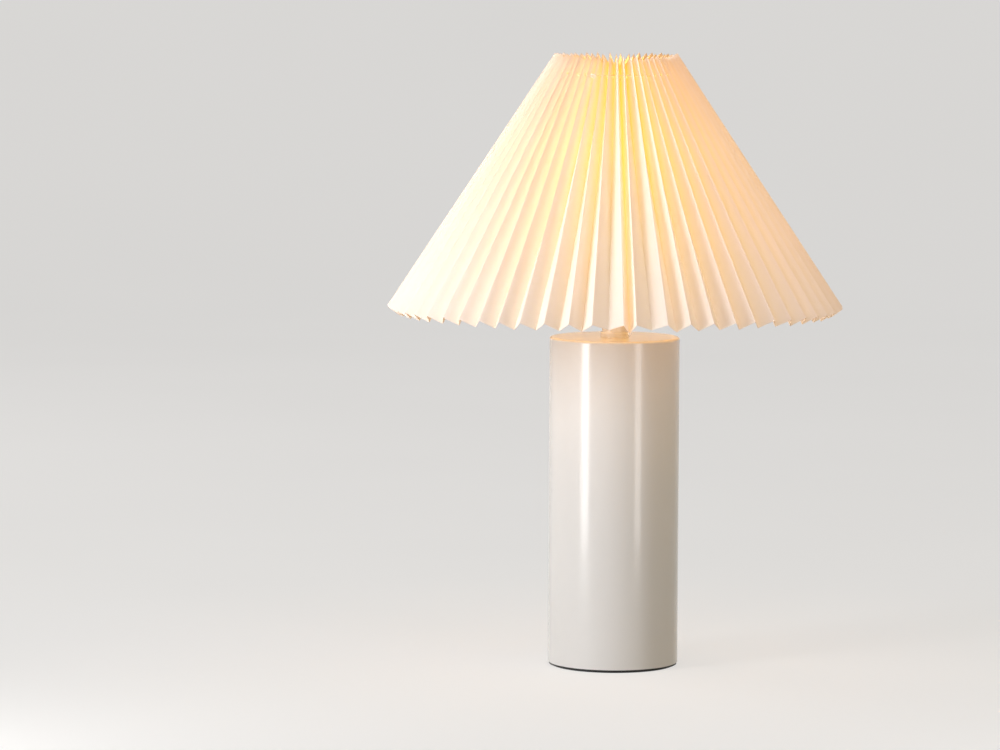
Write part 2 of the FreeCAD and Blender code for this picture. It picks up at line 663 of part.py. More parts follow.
def centre_contact():
    """A bent spring tongue under the bulb's tip."""
    low = Z_INSULATOR_TOP
    high = low + CONTACT_RISE
    end, bend, crest, tip = CONTACT_REACH
    outline = [
        (end, low),
        (bend, low),
        (crest, high),
        (tip, high),
        (tip, high + CONTACT_THICKNESS),
        (crest - CONTACT_LEAN, high + CONTACT_THICKNESS),
        (bend - CONTACT_LEAN, low + CONTACT_THICKNESS),
        (end, low + CONTACT_THICKNESS),
    ]
    corners = [Vector(-CONTACT_WIDTH / 2, y, z) for y, z in outline]
    return Part.Face(Part.makePolygon(corners + corners[:1])).extrude(Vector(CONTACT_WIDTH, 0, 0))


def side_contact():
    """A curved tongue that touches the side of the bulb's cap."""
    bore = CAP_RADIUS + SIDE_CONTACT_GAP
    high = Z_BULB + CAP_INSULATOR_HEIGHT + SIDE_CONTACT_ABOVE_CAP
    ring = tube(bore, SOCKET_RADIUS - SIDE_CONTACT_GAP, Z_INSULATOR_TOP, high)
    corner = Vector(-CONTACT_WIDTH / 2, 0, Z_INSULATOR)
    window = Part.makeBox(CONTACT_WIDTH, SOCKET_RADIUS * 2, SKIRT_HEIGHT, corner)
    return ring.common(window)


# ---------------------------------------------------------------- screw ring for the shade
def shade_ring():
    ring = turned_polygon(
        [
            (RING_BORE, Z_RING),
            (RING_FLANGE, Z_RING),
            (RING_FLANGE, Z_RING + RING_FLANGE_HEIGHT),
            (RING_OUTER, Z_RING + RING_FLANGE_HEIGHT),
            (RING_OUTER, Z_RING + RING_HEIGHT),
            (RING_BORE, Z_RING + RING_HEIGHT),
        ]
    )
    grip = disc(GRIP_RADIUS, Z_RING + RING_FLANGE_HEIGHT, Z_RING + RING_HEIGHT + 1, RING_OUTER, 0)
    for cutter in around(grip, RING_GRIPS):
        ring = ring.cut(cutter)
    return ring


# ---------------------------------------------------------------- bulb
def bulb_cap():
    """The thin screw shell with its rounded thread as rings."""
    low = Z_BULB + EYELET_HEIGHT + CAP_INSULATOR_HEIGHT
    high = Z_BULB + CAP_HEIGHT + CAP_OVER_COLLAR
    root = CAP_ROOT_RADIUS
    sunk = root - CAP_THREAD_ROOT
    shell = tube(root - CAP_WALL, root, low, high)
    for k in range(int((high - low - 2) / SOCKET_PITCH)):
        z = low + 1 + (k + 0.5) * SOCKET_PITCH
        half = SOCKET_PITCH * CAP_THREAD_FLANK
        thread = turned(
            [
                line(Vector(sunk, 0, z - half), Vector(root, 0, z - half)),
                arc(Vector(root, 0, z - half), Vector(CAP_RADIUS, 0, z), Vector(root, 0, z + half)),
                line(Vector(root, 0, z + half), Vector(sunk, 0, z + half)),
                line(Vector(sunk, 0, z + half), Vector(sunk, 0, z - half)),
            ]
        )
        shell = shell.fuse(thread)
    return shell.removeSplitter()


def bulb_cap_insulator():
    """The black cone between the screw shell and the tip."""
    low = Z_BULB + EYELET_HEIGHT
    high = low + CAP_INSULATOR_HEIGHT
    flank = (CAP_INSULATOR_RADIUS, high - CAP_INSULATOR_RIM)
    return turned_polygon([(0, low), (EYELET_RADIUS, low), flank, (CAP_ROOT_RADIUS, high), (0, high)])


def bulb_eyelet():
    """The solder tip."""
    low = Z_BULB
    high = Z_BULB + EYELET_HEIGHT
    tip = Vector(EYELET_FLAT_RADIUS, 0, low)
    across, up = EYELET_SHOULDER
    shoulder = Vector(EYELET_RADIUS * across, 0, low + EYELET_HEIGHT * up)
    return turned(
        [
            line(Vector(0, 0, low), tip),
            arc(tip, shoulder, Vector(EYELET_RADIUS, 0, high)),
            line(Vector(EYELET_RADIUS, 0, high), Vector(0, 0, high)),
            line(Vector(0, 0, high), Vector(0, 0, low)),
        ]
    )


Z_HOUSING = Z_BULB + CAP_HEIGHT
Z_HOUSING_TOP = Z_HOUSING + HOUSING_HEIGHT
Z_LED_BOARD = Z_HOUSING_TOP - LED_BOARD_THICKNESS


def bulb_housing():
    """The white lower half of the bulb: a cup that widens upwards to a ledge and a rim for the board."""
    collar = CAP_ROOT_RADIUS - CAP_WALL
    foot = HOUSING_FOOT_RADIUS
    low = Z_HOUSING + CAP_OVER_COLLAR
    floor = low + HOUSING_WALL
    rim = HOUSING_TOP_RADIUS - HOUSING_RIM
    across, up = HOUSING_WAIST
    flank = Vector(foot + (HOUSING_TOP_RADIUS - foot) * across, 0, low + HOUSING_HEIGHT * up)
    inner_flank = Vector(flank.x - HOUSING_WALL, 0, flank.z + HOUSING_WALL)
    points = {
        "axis": Vector(0, 0, Z_HOUSING),
        "collar": Vector(collar, 0, Z_HOUSING),
        "collar_top": Vector(collar, 0, low),
        "foot": Vector(foot, 0, low),
        "top": Vector(HOUSING_TOP_RADIUS, 0, Z_HOUSING_TOP),
        "rim": Vector(rim, 0, Z_HOUSING_TOP),
        "ledge_out": Vector(rim, 0, Z_LED_BOARD),
        "ledge_in": Vector(rim - HOUSING_LEDGE, 0, Z_LED_BOARD),
        "floor_out": Vector(foot - HOUSING_WALL, 0, floor),
        "floor": Vector(0, 0, floor),
    }
    return turned(
        [
            line(points["axis"], points["collar"]),
            line(points["collar"], points["collar_top"]),
            line(points["collar_top"], points["foot"]),
            arc(points["foot"], flank, points["top"]),
            line(points["top"], points["rim"]),
            line(points["rim"], points["ledge_out"]),
            line(points["ledge_out"], points["ledge_in"]),
            arc(points["ledge_in"], inner_flank, points["floor_out"]),
            line(points["floor_out"], points["floor"]),
            line(points["floor"], points["axis"]),
        ]
    )


def dome(foot_radius, radius):
    """A solid dome: a flank that swells from its foot to its full radius, and half a ball on top."""
    widest = Z_HOUSING_TOP + DIFFUSER_WIDEST
    across, up = DIFFUSER_SWELL
    flank = Vector(foot_radius + (radius - foot_radius) * across, 0, Z_HOUSING_TOP + DIFFUSER_WIDEST * up)
    shoulder = Vector(radius * math.cos(math.pi / 4), 0, widest + radius * math.sin(math.pi / 4))
    return turned(
        [
            line(Vector(0, 0, Z_HOUSING_TOP), Vector(foot_radius, 0, Z_HOUSING_TOP)),
            arc(Vector(foot_radius, 0, Z_HOUSING_TOP), flank, Vector(radius, 0, widest)),
            arc(Vector(radius, 0, widest), shoulder, Vector(0, 0, widest + radius)),
            line(Vector(0, 0, widest + radius), Vector(0, 0, Z_HOUSING_TOP)),
        ]
    )


def bulb_diffuser():
    """The opal dome, hollow and open below."""
    hollow = dome(HOUSING_TOP_RADIUS - DIFFUSER_WALL, BULB_RADIUS - DIFFUSER_WALL)
    return dome(HOUSING_TOP_RADIUS, BULB_RADIUS).cut(hollow)


def led_board():
    """The round board that lies on the housing's ledge."""
    return disc(HOUSING_TOP_RADIUS - HOUSING_RIM - LED_BOARD_CLEARANCE, Z_LED_BOARD, Z_HOUSING_TOP)


def led_chips():
    corner = Vector(LED_CIRCLE - LED_SIZE / 2, -LED_SIZE / 2, Z_HOUSING_TOP)
    return around(Part.makeBox(LED_SIZE, LED_SIZE, LED_HEIGHT, corner), LED_COUNT)


# ---------------------------------------------------------------- shade carrier
def carrier_ring_radius():
    """The ring's wire lies just outside the shade's inner folds, in their notches."""
    return inner_fold_radius(Z_CARRIER_RING) + RING_BITE


def carrier_fitter():
    """The flat ring that the screw ring clamps on the holder's flange."""
    return tube(CARRIER_BORE, CARRIER_RADIUS, Z_CARRIER, Z_CARRIER_TOP)


def carrier_arms():
    """Wires welded on the fitter that rise to the ring, one of them at the back."""
    foot = CARRIER_RADIUS - WIRE_RADIUS - ARM_INSET
    points = [
        Vector(foot, 0, Z_CARRIER_TOP),
        Vector(foot, 0, Z_CARRIER_TOP + ARM_UPRIGHT),
        Vector(carrier_ring_radius() - WIRE_RADIUS / 2, 0, Z_CARRIER_RING),
    ]
    arm = bent_wire(points, WIRE_RADIUS, "carrier arm").cut(carrier_ring())
    return around(arm, ARM_COUNT, 90)


def carrier_ring():
    return Part.makeTorus(carrier_ring_radius(), WIRE_RADIUS, Vector(0, 0, Z_CARRIER_RING))


# ---------------------------------------------------------------- pleated shade
def inner_fold(ridge_radius, ridge_z, half_angle):
    """(radius, height) of an inner fold's end beside an outer fold's end.

    The panels are rectangles folded out of one strip, so the edge between the two ends is as long as the
    panel is wide and square to the outer fold.
    """
    slope = (RIDGE_BOTTOM_RADIUS - RIDGE_TOP_RADIUS) / SHADE_RISE
    stretch = 1 + slope**2
    c = math.cos(math.radians(half_angle))
    s = math.sin(math.radians(half_angle))
    a = stretch * c * c + s * s
    b = stretch * ridge_radius * c
    inside = b * b - a * (stretch * ridge_radius**2 - PANEL_WIDTH**2)
    radius = (b - math.sqrt(max(inside, 0.0))) / a
    return radius, ridge_z + (radius * c - ridge_radius) * slope


def inner_fold_radius(z):
    """The inner folds' radius at a level."""
    half = 180.0 / PLEAT_COUNT
    top_r, top_z = inner_fold(RIDGE_TOP_RADIUS, Z_SHADE_TOP, half)
    low_r, low_z = inner_fold(RIDGE_BOTTOM_RADIUS, Z_RIM, half)
    return low_r + (top_r - low_r) * (z - low_z) / (top_z - low_z)


def outer_fold_radius(z):
    return RIDGE_BOTTOM_RADIUS + (RIDGE_TOP_RADIUS - RIDGE_BOTTOM_RADIUS) * (z - Z_RIM) / SHADE_RISE


def fold_ends(radius, z, pinch):
    """The ends of all folds on one edge of the shade, outer and inner by turns, from an outer one."""
    step = 360.0 / PLEAT_COUNT
    ridges = [PLEAT_PHASE + k * step for k in range(PLEAT_COUNT + 1)]
    ridges[0] += pinch
    ridges[1] -= pinch
    ridges[-1] = ridges[0] + 360.0
    ends = []
    for here, after in zip(ridges, ridges[1:]):
        ends.append(at_radius(radius, here, z))
        inner_radius, inner_z = inner_fold(radius, z, (after - here) / 2)
        ends.append(at_radius(inner_radius, (here + after) / 2, inner_z))
    return ends


def offset_folds(ends, distance):
    """The fold ends moved off the paper's middle surface by a distance, outwards if positive."""
    moved = []
    count = len(ends)
    for i, end in enumerate(ends):
        back = ends[i - 1].sub(end).normalize()
        ahead = ends[(i + 1) % count].sub(end).normalize()
        bisector = back.add(ahead)
        sine = math.sqrt((1 - back.dot(ahead)) / 2)
        outwards = -1 if i % 2 == 0 else 1
        moved.append(end.add(bisector.normalize().multiply(outwards * distance / sine)))
    return moved


def panel(a, b, c, d):
    """The two flat triangles between the straight edges a-b and c-d, split along b-c."""
    return [Part.Face(Part.makePolygon([a, b, c, a])), Part.Face(Part.makePolygon([b, d, c, b]))]


def square_ring(radius, half_width, z):
    """A ring with a square section round a circle at a level."""
    return tube(radius - half_width, radius + half_width, z - half_width, z + half_width)


def pleated_shade():
    """One folded sheet, closed into a cone, with notches for the carrier's ring and holes for the string.

    The paper has its thickness at both edges. The straight lines between them leave it up to a half
    thicker midway, where the folds open less than in proportion.
    """
    half = PAPER_THICKNESS / 2
    top = fold_ends(RIDGE_TOP_RADIUS, Z_SHADE_TOP, 0.0)
    rim = fold_ends(RIDGE_BOTTOM_RADIUS, Z_RIM, SEAM_PINCH)
    top_out, top_in = offset_folds(top, half), offset_folds(top, -half)
    rim_out, rim_in = offset_folds(rim, half), offset_folds(rim, -half)
    faces = []
    for i in range(len(top)):
        j = (i + 1) % len(top)
        faces += panel(top_out[i], rim_out[i], top_out[j], rim_out[j])
        faces += panel(top_in[i], rim_in[i], top_in[j], rim_in[j])
        faces += panel(top_out[i], top_out[j], top_in[i], top_in[j])
        faces += panel(rim_out[i], rim_out[j], rim_in[i], rim_in[j])
    skin = Part.makeShell(faces)
    skin.sewShape()
    shade = Part.Solid(skin)
    if shade.Volume < 0:
        shade.reverse()
    notches = square_ring(carrier_ring_radius(), WIRE_RADIUS + NOTCH_CLEARANCE, Z_CARRIER_RING)
    holes = square_ring(string_radius(), STRING_HOLE, Z_STRING)
    return shade.cut(notches).cut(holes)


def string_radius():
    return outer_fold_radius(Z_STRING) - STRING_BEHIND_RIDGES


def drawstring():
    """The thread that gathers the pleats over the carrier's ring, with its knot between two outer folds."""
    thread = Part.makeTorus(string_radius(), STRING_RADIUS, Vector(0, 0, Z_STRING))
    azimuth = PLEAT_PHASE - (KNOT_PLEATS_LEFT + 0.5) * 360.0 / PLEAT_COUNT
    knot = Part.makeSphere(KNOT_RADIUS, at_radius(string_radius(), azimuth, Z_STRING))
    return thread.fuse(knot)


def main():
    os.makedirs("parts", exist_ok=True)
    save("base_body", base_body())
    save("base_plate", base_plate())
    save("felt_pad", felt_pad())
    save("ballast_ring", ballast_ring())
    save("ballast_screws", *[countersunk_screw(place) for place in ballast_screw_places()])
    save("threaded_tube", threaded_tube())
    save("tube_washer", tube_washer())
    save("tube_nut", tube_nut())
    save("cord_grommet", cord_grommet())
    save("terminal_block", terminal_block())
    save("terminal_block_screws", *terminal_block_screws())
    save("block_fixing_screw", block_fixing_screw())
    save("live_lead", bent_wire(lead_route(-1), LEAD_RADIUS, "live lead"))
    save("neutral_lead", bent_wire(lead_route(1), LEAD_RADIUS, "neutral lead"))
    save("neck_collar", neck_collar())
    save("neck_tube", neck_tube())
    save("neck_cap", neck_cap())
    save("holder_cap", holder_cap())
    save("holder_bush", holder_bush())
    save("holder_lock_screw", lock_screw())
    save("holder_skirt", holder_skirt())
    save("holder_insulator", holder_insulator())
    save("holder_terminal_screws", terminal_screw(-1), terminal_screw(1))
    save("centre_contact", centre_contact())
    save("side_contact", side_contact())
    save("shade_ring", shade_ring())
    save("bulb_eyelet", bulb_eyelet())
    save("bulb_cap_insulator", bulb_cap_insulator())
    save("bulb_cap", bulb_cap())
    save("bulb_housing", bulb_housing())
    save("bulb_diffuser", bulb_diffuser())
    save("led_board", led_board())
    save("led_chips", *led_chips())
    save("carrier_fitter", carrier_fitter())
    save("carrier_arms", *carrier_arms())
    save("carrier_ring", carrier_ring())
    save("pleated_shade", pleated_shade())
    save("drawstring", drawstring())
    print(f"overall height {Z_SHADE_TOP:.1f} mm, shade diameter {2 * RIDGE_BOTTOM_RADIUS:.1f} mm")


main()
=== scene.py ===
"""A table lamp with a pleated paper shade: the finish of its pieces, in metres, in the frame's own axes.

The lamp stands on the floor at z = 0, with +Z up and its front towards -Y. The folded paper, the bead at its
seam and the drawstring are modelled here. Every other piece keeps the frame's shape and takes a finish.
Angles are in degrees unless a comment says otherwise. A compass angle counts from the front towards +X.
"""

import json
import math
import random

import bmesh
import bpy
from mathutils import Matrix, Vector, noise

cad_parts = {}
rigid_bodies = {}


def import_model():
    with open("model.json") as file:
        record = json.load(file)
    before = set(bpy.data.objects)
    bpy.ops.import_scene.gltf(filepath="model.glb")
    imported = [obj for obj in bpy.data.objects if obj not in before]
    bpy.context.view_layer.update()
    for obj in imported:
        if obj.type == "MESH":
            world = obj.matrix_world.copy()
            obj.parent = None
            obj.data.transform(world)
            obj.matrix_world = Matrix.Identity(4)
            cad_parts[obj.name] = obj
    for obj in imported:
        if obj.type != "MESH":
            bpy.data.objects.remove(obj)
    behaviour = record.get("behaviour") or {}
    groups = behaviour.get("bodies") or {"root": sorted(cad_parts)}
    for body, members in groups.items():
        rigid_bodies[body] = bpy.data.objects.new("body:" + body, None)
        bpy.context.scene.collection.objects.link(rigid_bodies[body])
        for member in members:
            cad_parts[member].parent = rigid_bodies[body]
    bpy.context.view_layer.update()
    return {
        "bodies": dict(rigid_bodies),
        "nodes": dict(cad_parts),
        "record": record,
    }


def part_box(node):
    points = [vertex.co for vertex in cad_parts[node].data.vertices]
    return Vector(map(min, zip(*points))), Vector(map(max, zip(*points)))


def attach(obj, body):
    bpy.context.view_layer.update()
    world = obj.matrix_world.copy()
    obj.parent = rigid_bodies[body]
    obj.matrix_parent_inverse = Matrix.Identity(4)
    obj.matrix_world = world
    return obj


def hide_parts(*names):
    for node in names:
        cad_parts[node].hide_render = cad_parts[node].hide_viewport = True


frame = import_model()
MM = 0.001

# ---------------------------------------------------------------- sizes, in metres
# The folded sheet
PLEATS = 60
PLEAT_STEP = 360.0 / PLEATS
PLEAT_PHASE = 0.75  # the first ridge's compass angle
PANEL_WIDTH = 15.0 * MM
PAPER_THICKNESS = 0.32 * MM
RIDGE_TOP_RADIUS = 52.0 * MM
RIDGE_RIM_RADIUS = 192.5 * MM
RIDGE_RIM_Z = 305.0 * MM
SLANT = 254.0 * MM  # a ridge's length
RISE = math.sqrt(SLANT**2 - (RIDGE_RIM_RADIUS - RIDGE_TOP_RADIUS) ** 2)
RIDGE_TOP_Z = RIDGE_RIM_Z + RISE
SLOPE = (RIDGE_RIM_RADIUS - RIDGE_TOP_RADIUS) / RISE
SLANT_ANGLE = math.atan(SLOPE)  # radians

# How unevenly it is folded
SEED = 11
SEAM_PINCH = 1.45  # how far the ridge on each side of the seam is pressed towards it at the rim
RIM_JITTER = 0.32  # how far a ridge lies from its even place at the rim, at most
TOP_JITTER = 1.25  # the same at the top
INNER_JITTER = 0.25  # the share of it that an inner fold adds
RIM_LIFT = (-0.35 * MM, 0.35 * MM)  # how far a fold's end lies above the rim's edge, at least and at most
TOP_LIFT = (-0.5 * MM, 1.5 * MM)  # the same at the top
RIDGE_INSET = 0.3 * MM  # keeps the skin's thickness and bow inside the outer cone
FOLD_ROUND = 0.45 * MM  # how far from a fold its rounding starts
FOLD_SHORT = 0.35 * FOLD_ROUND  # how far a rounded fold falls short of a sharp one
BOW = 0.55 * MM  # how far a panel bulges, at most
BOW_LEAST = 0.35  # the share of the bow that is left at the rim
BOW_START = 0.05  # where the bow's wave down the panel starts, as a share of its length
BOW_RATE = 1.15  # how fast the wave runs
RIPPLE = 0.22 * MM
RIPPLE_RATES = (3.7, 5.0, 1.3)  # how fast the ripple changes from panel to panel, down a panel and across it

# How finely it is divided
ROWS = 26
ROW_CLEARANCE = 1.5 * MM  # the least distance of an even row from a row at a hole or notch
MIDDLE_COLUMNS = (0.5, 0.68)  # shares of a panel's width
CREASE_ANGLE = 25.0  # a sharper fold shows as a crease
SMOOTH_ANGLE = 40.0  # the same on the floor

# Holes for the string and notches for the carrier's ring
STRING_Z = (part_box("drawstring")[0].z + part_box("drawstring")[1].z) / 2
RING_Z = (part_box("carrier_ring")[0].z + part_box("carrier_ring")[1].z) / 2
STRING_BEHIND_RIDGES = 5.5 * MM
HOLE_RADIUS = 0.8 * MM
NOTCH_HEIGHT = 3.2 * MM
NOTCH_DEPTH = 2.4 * MM

# The curled, glued end of the seam at the rim
SEAM_BEAD = (1.0 * MM, 0.9 * MM, 1.6 * MM)  # half its width, depth and height
BEAD_FINENESS = 3
BEAD_DENT = 0.22  # how far it departs from an egg's shape
BEAD_DENT_SCALE = 1.4
BEAD_DENT_PLACE = (0.0, 0.0, 3.0)  # where the noise for the dents is taken

# The drawstring, a two-ply thread, with its knot in the mouth of a pleat
PLY_RADIUS = 0.23 * MM
PLY_FROM_MIDDLE = 0.19 * MM
TWISTS = 90
STEPS_PER_TWIST = 8
THREAD_FINENESS = 1
PLEATS_TO_KNOT = 3.5  # from the first ridge, away from +X
KNOT_AZIMUTH = PLEAT_PHASE - PLEATS_TO_KNOT * PLEAT_STEP
KNOT_OUTSIDE = 1.4 * MM  # from the thread's ring to the knot's middle
KNOT_SIZE = 0.46 * MM  # how far the thread swings from the middle of its path
KNOT_OPENING = 2.0  # that path's radius, in knot sizes
KNOT_TURNS = 2
KNOT_WINDS = 3  # how often the turns pass through each other
KNOT_THREAD_RADIUS = 0.38 * MM
KNOT_STEPS = 72
LOOP = (  # (sideways, outwards, upwards) from the knot's middle
    (0.0, 0.8 * MM, 0.2 * MM),
    (1.3 * MM, 3.6 * MM, 0.9 * MM),
    (3.2 * MM, 5.6 * MM, 1.3 * MM),
    (5.2 * MM, 6.4 * MM, 0.6 * MM),
    (5.6 * MM, 6.8 * MM, -0.8 * MM),
    (4.2 * MM, 6.8 * MM, -1.6 * MM),
    (1.8 * MM, 4.4 * MM, -1.0 * MM),
    (0.0, 0.8 * MM, -0.2 * MM),
)
LOOP_STEPS = 6

# ---------------------------------------------------------------- looks
# The paper, and the painted glow that stands in for the bulb's light through it, at its outer and inner
# folds, by height from rim to top
PAPER_COLOR = (0.90, 0.87, 0.81)
PAINTED_GLOW_STRENGTH = 1.0
PAINTED_GLOW_MOTTLE = 0.04
PAINTED_GLOW_OUTER = (
    (0.0, (0.31, 0.165, 0.090)),
    (0.33, (0.42, 0.215, 0.105)),
    (0.66, (0.42, 0.220, 0.100)),
    (1.0, (0.36, 0.170, 0.070)),
)
# Inside the folds the painted glow is deeper in colour, a painted stand-in for light passed back and forth
# between the panels.
PAINTED_GLOW_INNER = (
    (0.0, (0.27, 0.145, 0.060)),
    (0.33, (0.35, 0.195, 0.050)),
    (0.66, (0.39, 0.210, 0.022)),
    (1.0, (0.34, 0.165, 0.008)),
)
FOLD_DEPTH = 12.5 * MM  # from the outer folds' cone to the inner folds', over which the painted glow deepens in colour
THREAD_COLOR = (0.88, 0.84, 0.74)
PAINTED_THREAD_GLOW = (0.36, 0.20, 0.05)  # the thread's painted glow between the pleats
PAINTED_KNOT_GLOW = (0.30, 0.27, 0.20)  # the knot's painted glow outside them, which paints it lighter

# The other finishes, by material slot
TONES_BETWEEN = (0.35, 0.65)  # the noise at which a colour is darkest and plain
NOISE_BETWEEN = (0.3, 0.7)  # where most of the noise lies
GLOSS_SCALE = 2.3  # how much finer the gloss varies than the tone
GLOSS_VARIES = 0.06
GRAIN_STRENGTH = 0.35
BRUSHED = (1.0, 1.0, 14.0)
ENAMEL_ROUGHNESS = (0.20, 0.25)
ENAMELS = {
    "base_paint": (0.83, 0.80, 0.765),
    "neck_paint": (0.85, 0.81, 0.75),
}
LIT_FINISHES = {  # colour, light and the light's strength
    "bulb_opal": ((0.95, 0.90, 0.80), (1.0, 0.66, 0.28), 6.0),
    "led_phosphor": ((0.9, 0.8, 0.3), (1.0, 0.75, 0.35), 8.0),
}
SURFACES = {
    "black_steel": {"color": (0.014, 0.013, 0.012), "roughness": 0.6, "grain": 900.0, "tone": 0.2},
    "felt": {"color": (0.022, 0.021, 0.020), "roughness": 0.97, "tone": 0.35, "scale": 300.0,
             "grain": 2200.0, "grain_depth": 0.3 * MM},
    "cast_iron": {"color": (0.16, 0.155, 0.15), "roughness": 0.75, "metallic": 0.6, "tone": 0.3,
                  "scale": 90.0, "grain": 700.0, "grain_depth": 0.25 * MM},
    "zinc_steel": {"color": (0.62, 0.61, 0.58), "roughness": 0.37, "metallic": 1.0, "tone": 0.12,
                   "stretch": BRUSHED},
    "wire_steel": {"color": (0.80, 0.79, 0.76), "roughness": 0.38, "tone": 0.04, "coat": 0.3},
    "black_rubber": {"color": (0.025, 0.025, 0.026), "roughness": 0.72, "tone": 0.2, "grain": 1500.0},
    "block_plastic": {"color": (0.78, 0.76, 0.70), "roughness": 0.5},
    "lead_brown": {"color": (0.16, 0.07, 0.035), "roughness": 0.45},
    "lead_blue": {"color": (0.04, 0.14, 0.46), "roughness": 0.45},
    "holder_plastic": {"color": (0.84, 0.82, 0.77), "roughness": 0.37, "tone": 0.03, "grain": 1200.0},
    "insulator_ceramic": {"color": (0.82, 0.80, 0.74), "roughness": 0.66, "grain": 1500.0},
    "contact_brass": {"color": (0.74, 0.53, 0.22), "roughness": 0.37, "metallic": 1.0, "stretch": BRUSHED},
    "solder": {"color": (0.58, 0.58, 0.57), "roughness": 0.42, "metallic": 1.0, "tone": 0.2, "scale": 300.0},
    "bulb_black_glass": {"color": (0.02, 0.02, 0.022), "roughness": 0.15},
    "cap_aluminium": {"color": (0.76, 0.76, 0.75), "roughness": 0.37, "metallic": 1.0, "stretch": BRUSHED},
    "bulb_white": {"color": (0.86, 0.85, 0.82), "roughness": 0.37, "tone": 0.03},
    "board_aluminium": {"color": (0.80, 0.80, 0.78), "roughness": 0.45, "metallic": 0.2},
}

# ---------------------------------------------------------------- camera, lights and stage
# The camera, fitted to the photograph's 1000 x 750 frame
CAMERA_DISTANCE = 4.031
CAMERA_HEIGHT = 0.628
CAMERA_YAW = -0.024  # radians, as are the next two
CAMERA_PITCH = 0.0945
CAMERA_ROLL = 0.0041
FOCAL_PIXELS = 4786.0
FRAME_WIDTH = 1000.0
SENSOR_WIDTH = 36.0

# The lamps: name, compass angle, distance, height, size, power, colour
LAMPS = (
    ("key_strip", -51.0, 2.6, 0.75, (0.42, 1.9), 22.0, (0.97, 0.98, 1.0)),
    ("key_low", -51.0, 0.8, 0.29, (0.20, 0.56), 2.0, (0.98, 0.99, 1.0)),
    ("left_wall", -70.0, 2.8, 0.9, (1.6, 2.2), 14.0, (0.95, 0.975, 1.0)),
    ("front_wall", -14.0, 3.0, 1.1, (1.2, 1.8), 15.5, (0.98, 0.985, 1.0)),
    ("right_strip", 42.0, 0.8, 0.29, (0.15, 0.56), 1.2, (1.0, 0.97, 0.95)),
    ("right_warm", 78.0, 2.6, 1.2, (1.2, 1.8), 7.0, (1.0, 0.74, 0.10)),
    ("back_left", -125.0, 2.6, 1.2, (1.2, 1.8), 14.0, (1.0, 0.985, 0.97)),
)
LAMPS_AIM = 0.30  # the height that they point at
BULB_POWER = 11.0
BULB_COLOR = (1.0, 0.53, 0.17)
BULB_CLEARANCE = 1.0 * MM  # between the dome and the ball that sheds its light
WORLD_COLOR = (1.0, 0.985, 0.97)
WORLD_STRENGTH = 0.03

# The floor that curves up into a backdrop
FLOOR_WIDTH = 14.0
FLOOR_FRONT = -6.0
FLOOR_BACK = 5.0
BACKDROP_HEIGHT = 6.0
BEND_RADIUS = 1.5
BEND_STEPS = 16
FLOOR_BELOW = 0.05 * MM  # keeps the floor clear of the pad's underside
FLOOR_COLOR = (0.27, 0.262, 0.255)
FLOOR_SEEN_COLOR = (1.0, 0.985, 0.965)
FLOOR_SEEN_STRENGTH = 0.66


# ---------------------------------------------------------------- small helpers
def polar(radius, azimuth, z):
    """A point at a compass angle."""
    a = math.radians(azimuth)
    return Vector((radius * math.sin(a), -radius * math.cos(a), z))


def add_piece(name, data):
    """A new object in the scene, with its mesh or curve."""
    piece = bpy.data.objects.new(name, data)
    bpy.context.scene.collection.objects.link(piece)
    return piece


def mesh_piece(name, points, faces, smooth_angle):
    """A piece made of points and faces, smooth except over sharper folds."""
    mesh = bpy.data.meshes.new(name)
    mesh.from_pydata([tuple(p) for p in points], [], faces)
    mesh.validate()
    mesh.shade_smooth()
    mesh.set_sharp_from_angle(angle=math.radians(smooth_angle))
    return add_piece(name, mesh)


def finished_mesh(piece):
    """The mesh that an object's modifiers or bevel make of it."""
    bpy.context.view_layer.update()
    depsgraph = bpy.context.evaluated_depsgraph_get()
    return bpy.data.meshes.new_from_object(piece.evaluated_get(depsgraph))


def paint(piece, material):
    """Gives a piece a single material."""
    piece.data.materials.clear()
    piece.data.materials.append(material)


# ---------------------------------------------------------------- nodes
def set_socket(tree, socket, value):
    """Links an input to another node's output, or gives it a plain value."""
    if isinstance(value, bpy.types.NodeSocket):
        tree.links.new(value, socket)
    else:
        socket.default_value = value


def set_inputs(tree, node, **values):
    """Sets a node's inputs by name, with _ for a space."""
    for name, value in values.items():
        set_socket(tree, node.inputs[name.replace("_", " ")], value)


def add_node(tree, kind, **values):
    """A new node with its inputs set."""
    node = tree.nodes.new(kind)
    set_inputs(tree, node, **values)
    return node


def arithmetic(tree, operation, *values, clamp=False):
    """A math node on sockets or numbers. Returns the value's socket."""
    node = tree.nodes.new("ShaderNodeMath")
    node.operation = operation
    node.use_clamp = clamp
    for socket, value in zip(node.inputs, values):
        set_socket(tree, socket, value)
    return node.outputs["Value"]


def object_place(tree):
    """The place on a piece, in the piece's own space. Returns the vector's socket."""
    return tree.nodes.new("ShaderNodeTexCoord").outputs["Object"]


def object_noise(tree, scale, detail=4.0, roughness=0.55, stretch=(1.0, 1.0, 1.0)):
    """Noise in the piece's own space, stretched along its axes. Returns the factor's socket."""
    mapping = add_node(tree, "ShaderNodeMapping", Vector=object_place(tree), Scale=stretch)
    place = mapping.outputs["Vector"]
    texture = add_node(
        tree, "ShaderNodeTexNoise", Vector=place, Scale=scale, Detail=detail, Roughness=roughness
    )
    return texture.outputs["Fac"]


def color_stops(tree, factor, colors):
    """A ramp through colours, each with its position. Returns the colour's socket."""
    node = add_node(tree, "ShaderNodeValToRGB", Fac=factor)
    stops = node.color_ramp.elements
    while len(stops) < len(colors):
        stops.new(0.5)
    for stop, (position, color) in zip(stops, colors):
        stop.position = position
        stop.color = (*color, 1.0)
    return node.outputs["Color"]


def two_tones(tree, factor, color, darker):
    """A colour that is darker by a share where the factor is low. Returns the colour's socket."""
    dark = tuple(c * darker for c in color)
    low, high = TONES_BETWEEN
    return color_stops(tree, factor, ((low, dark), (high, color)))


